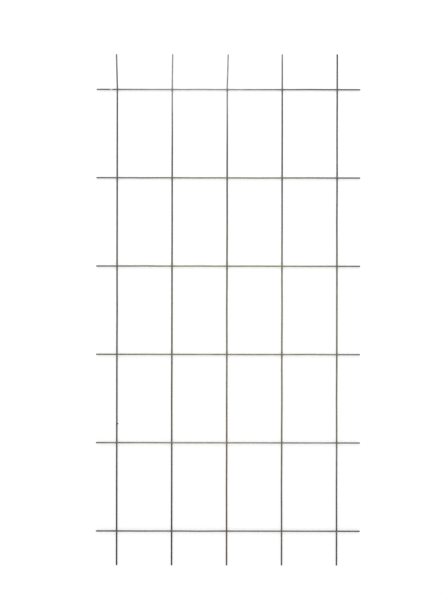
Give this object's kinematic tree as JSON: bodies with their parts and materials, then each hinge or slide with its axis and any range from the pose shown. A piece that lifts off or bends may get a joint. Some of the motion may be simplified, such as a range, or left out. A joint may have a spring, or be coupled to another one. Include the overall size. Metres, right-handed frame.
{
  "type": "metal trellis",
  "caption": "Flat trellis panel of round steel wire, uprights and cross wires welded where they cross, ends left free.",
  "frame": {"origin": "on the floor under the middle of the panel's outline, at the underside of the uprights", "axes": "+X across the panel to the right, +Y up along the uprights, +Z out of the front, where the cross wires lie"},
  "size_m": [0.896, 1.738, 0.0089],
  "materials": {
    "steel_wire": "bare drawn wire, dull dark grey with fine die lines, a faint brown bloom and darker weld spots"
  },
  "bodies": {
    "root": {"trellis_panel": "steel_wire"}
  },
  "joints": []
}
